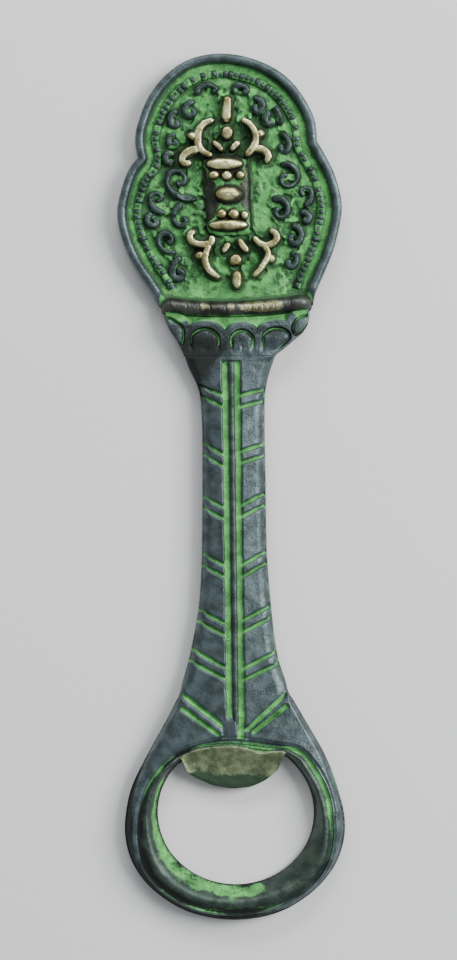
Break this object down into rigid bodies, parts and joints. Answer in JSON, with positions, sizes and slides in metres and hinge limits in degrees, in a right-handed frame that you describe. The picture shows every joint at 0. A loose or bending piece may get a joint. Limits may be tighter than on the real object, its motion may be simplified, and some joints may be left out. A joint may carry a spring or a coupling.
{
  "type": "cast bottle opener",
  "caption": "Flat cast brass hand bottle opener: oval cap ring with a pry lip, ribbed flaring handle, lotus collar and a rounded relief head",
  "frame": {"origin": "middle of the flat back that the opener lies on, at the centre of its bounding box's lowest face", "axes": "+Y along the handle towards the decorated head, +Z out of the decorated front, +X to the right as seen from the front"},
  "size_m": [0.0421, 0.1598, 0.0066],
  "materials": {
    "dark_patina": "near-black oxide on cast brass, brass rubbed through on its edges",
    "grey_patina": "blue-grey oxide on cast brass, smooth from handling",
    "verdigris": "matt green verdigris over dark cast brass, thickest in the recesses",
    "worn_brass": "pale brass rubbed bright on the high points, dark oxide on the flanks"
  },
  "bodies": {
    "root": {"bead_border": "dark_patina", "bud_lower": "worn_brass", "bud_upper": "worn_brass", "cap_ring": "grey_patina", "collar_petal_1": "dark_patina", "collar_petal_2": "dark_patina", "collar_petal_3": "dark_patina", "collar_petal_4": "dark_patina", "collar_petal_5": "dark_patina", "collar_rail": "dark_patina", "disc_lower": "worn_brass", "disc_upper": "worn_brass", "handle_shank": "grey_patina", "handle_spine": "dark_patina", "head_plate": "verdigris", "head_rim": "grey_patina", "leaf_lower_left": "worn_brass", "leaf_lower_right": "worn_brass", "leaf_upper_left": "worn_brass", "leaf_upper_right": "worn_brass", "lotus_collar": "dark_patina", "petal_lower_1": "worn_brass", "petal_lower_2": "worn_brass", "petal_lower_3": "worn_brass", "petal_upper_1": "worn_brass", "petal_upper_2": "worn_brass", "petal_upper_3": "worn_brass", "prong_lower_left": "worn_brass", "prong_lower_right": "worn_brass", "prong_upper_left": "worn_brass", "prong_upper_right": "worn_brass", "pry_lip": "worn_brass", "ring_liner": "verdigris", "sceptre_barrel": "dark_patina", "sceptre_bulb": "worn_brass", "scroll_left_1": "verdigris", "scroll_left_10": "verdigris", "scroll_left_2": "verdigris", "scroll_left_3": "verdigris", "scroll_left_4": "verdigris", "scroll_left_5": "verdigris", "scroll_left_6": "verdigris", "scroll_left_7": "verdigris", "scroll_left_8": "verdigris", "scroll_left_9": "verdigris", "scroll_right_1": "verdigris", "scroll_right_10": "verdigris", "scroll_right_2": "verdigris", "scroll_right_3": "verdigris", "scroll_right_4": "verdigris", "scroll_right_5": "verdigris", "scroll_right_6": "verdigris", "scroll_right_7": "verdigris", "scroll_right_8": "verdigris", "scroll_right_9": "verdigris", "scroll_top_left": "verdigris", "scroll_top_right": "verdigris", "spike_lower": "worn_brass", "spike_upper": "worn_brass"}
  },
  "joints": []
}
